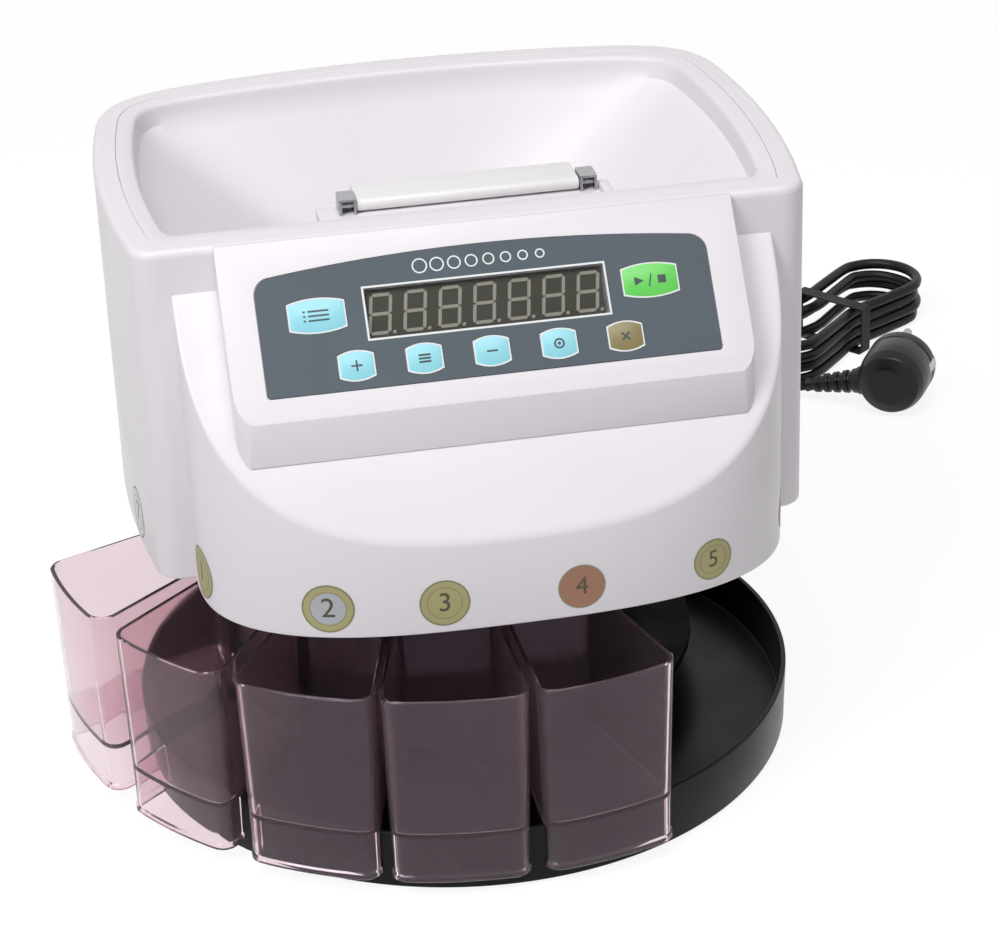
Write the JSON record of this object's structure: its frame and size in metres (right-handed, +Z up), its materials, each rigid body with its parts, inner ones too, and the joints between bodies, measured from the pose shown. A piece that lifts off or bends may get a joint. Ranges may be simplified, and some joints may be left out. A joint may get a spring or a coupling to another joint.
{
  "type": "coin counter",
  "caption": "Electronic coin sorter: a hopper over a turning disc drops sorted coins into smoked pull-out boxes standing round a black tray, with keypad and display in front.",
  "frame": {"origin": "under the middle of the machine's bounding box, on the surface that it stands on, measured without its free cord", "axes": "+Z up, -Y towards the user who reads the display, +X to that user's right"},
  "size_m": [0.5047, 0.5371, 0.266],
  "materials": {
    "shell": "satin off-white moulding",
    "flap": "satin white moulding",
    "overlay": "printed slate film",
    "lens": "tinted clear plastic",
    "module": "moulded",
    "board": "green circuit board",
    "key_blue": "printed cyan",
    "key_green": "printed green",
    "key_olive": "printed olive",
    "smoke": "smoked translucent plum-brown moulding",
    "black_plastic": "black moulding",
    "foot_rubber": "black rubber",
    "rail_metal": "machined",
    "steel": "bright steel",
    "screw_steel": "blackened steel",
    "brass": "turned brass",
    "gear_plastic": "natural acetal",
    "motor_case": "grey",
    "cord_rubber": "black cable sheath"
  },
  "bodies": {
    "machine": {"main_housing": "shell", "hopper_liner": "shell", "panel_bezel": "shell", "panel_overlay": "overlay", "display_window": "lens", "display_module": "module", "coin_sensor": "module", "key_board": "board", "power_board": "board", "base_tray": "black_plastic", "chassis_drum": "black_plastic", "deck_plate": "black_plastic", "rear_cover": "black_plastic", "switch_frame": "black_plastic", "foot_1": "foot_rubber", "foot_2": "foot_rubber", "foot_3": "foot_rubber", "foot_4": "foot_rubber", "sorting_rail": "rail_metal", "disc_cover": "rail_metal", "motor_plate": "rail_metal", "flap_pin": "steel", "flap_bracket_left": "steel", "flap_bracket_right": "steel", "plug_pin_low": "steel", "plug_pin_high": "steel", "rear_screw_1": "screw_steel", "rear_screw_2": "screw_steel", "rear_screw_3": "screw_steel", "rear_screw_4": "screw_steel", "shaft_bearing": "brass", "drive_motor": "motor_case", "transformer": "motor_case", "cord_run": "cord_rubber", "cord_hank": "cord_rubber", "cord_lead": "cord_rubber", "cord_boot": "cord_rubber", "plug_body": "cord_rubber", "hank_tie": "cord_rubber"},
    "coin_disc": {"coin_disc": "rail_metal", "drive_shaft": "steel", "drive_gear": "gear_plastic"},
    "motor_pinion": {"motor_pinion": "brass", "motor_shaft": "steel"},
    "coin_flap": {"coin_flap": "flap"},
    "switch_rocker": {"switch_rocker": "black_plastic"},
    "key_summary": {"key_summary": "key_blue"},
    "key_start": {"key_start": "key_green"},
    "key_plus": {"key_plus": "key_blue"},
    "key_batch": {"key_batch": "key_blue"},
    "key_minus": {"key_minus": "key_blue"},
    "key_store": {"key_store": "key_blue"},
    "key_clear": {"key_clear": "key_olive"},
    "coin_box_1": {"coin_box_1": "smoke"},
    "coin_box_2": {"coin_box_2": "smoke"},
    "coin_box_3": {"coin_box_3": "smoke"},
    "coin_box_4": {"coin_box_4": "smoke"},
    "coin_box_5": {"coin_box_5": "smoke"}
  },
  "joints": [
    {"name": "disc_spin", "type": "hinge", "parent": "machine", "child": "coin_disc", "pos_m": [0.01615, 0.02017, 0.1312], "axis": [0, 0, 1], "continuous": true},
    {"name": "pinion_spin", "type": "hinge", "parent": "machine", "child": "motor_pinion", "pos_m": [0.01615, 0.06517, 0.1113], "axis": [0, 0, 1], "continuous": true},
    {"name": "flap_hinge", "type": "hinge", "parent": "machine", "child": "coin_flap", "pos_m": [0.0205, -0.04793, 0.2616], "axis": [1, 0, 0], "range_deg": [0, 72]},
    {"name": "power_rocker", "type": "hinge", "parent": "machine", "child": "switch_rocker", "pos_m": [0.00215, 0.12137, 0.062], "axis": [1, 0, 0], "range_deg": [0, 16]},
    {"name": "key_summary_press", "type": "slide", "parent": "machine", "child": "key_summary", "axis": [0, 0.7804, -0.6252], "range_m": [0, 0.0008], "stiffness_N_per_m": 300},
    {"name": "key_start_press", "type": "slide", "parent": "machine", "child": "key_start", "axis": [0, 0.7804, -0.6252], "range_m": [0, 0.0008], "stiffness_N_per_m": 300},
    {"name": "key_plus_press", "type": "slide", "parent": "machine", "child": "key_plus", "axis": [0, 0.7804, -0.6252], "range_m": [0, 0.0008], "stiffness_N_per_m": 300},
    {"name": "key_batch_press", "type": "slide", "parent": "machine", "child": "key_batch", "axis": [0, 0.7804, -0.6252], "range_m": [0, 0.0008], "stiffness_N_per_m": 300},
    {"name": "key_minus_press", "type": "slide", "parent": "machine", "child": "key_minus", "axis": [0, 0.7804, -0.6252], "range_m": [0, 0.0008], "stiffness_N_per_m": 300},
    {"name": "key_store_press", "type": "slide", "parent": "machine", "child": "key_store", "axis": [0, 0.7804, -0.6252], "range_m": [0, 0.0008], "stiffness_N_per_m": 300},
    {"name": "key_clear_press", "type": "slide", "parent": "machine", "child": "key_clear", "axis": [0, 0.7804, -0.6252], "range_m": [0, 0.0008], "stiffness_N_per_m": 300},
    {"name": "coin_box_1_draw", "type": "slide", "parent": "machine", "child": "coin_box_1", "axis": [-0.8521, -0.5234, 0], "range_m": [0, 0.09]},
    {"name": "coin_box_2_draw", "type": "slide", "parent": "machine", "child": "coin_box_2", "axis": [-0.6362, -0.7715, 0], "range_m": [0, 0.09]},
    {"name": "coin_box_3_draw", "type": "slide", "parent": "machine", "child": "coin_box_3", "axis": [-0.3801, -0.9249, 0], "range_m": [0, 0.09]},
    {"name": "coin_box_4_draw", "type": "slide", "parent": "machine", "child": "coin_box_4", "axis": [-0.1162, -0.9932, 0], "range_m": [0, 0.09]},
    {"name": "coin_box_5_draw", "type": "slide", "parent": "machine", "child": "coin_box_5", "axis": [0.16, -0.9871, 0], "range_m": [0, 0.09]}
  ],
  "couplings": [
    {"joint": "pinion_spin", "follows": "disc_spin", "ratio": -4}
  ]
}
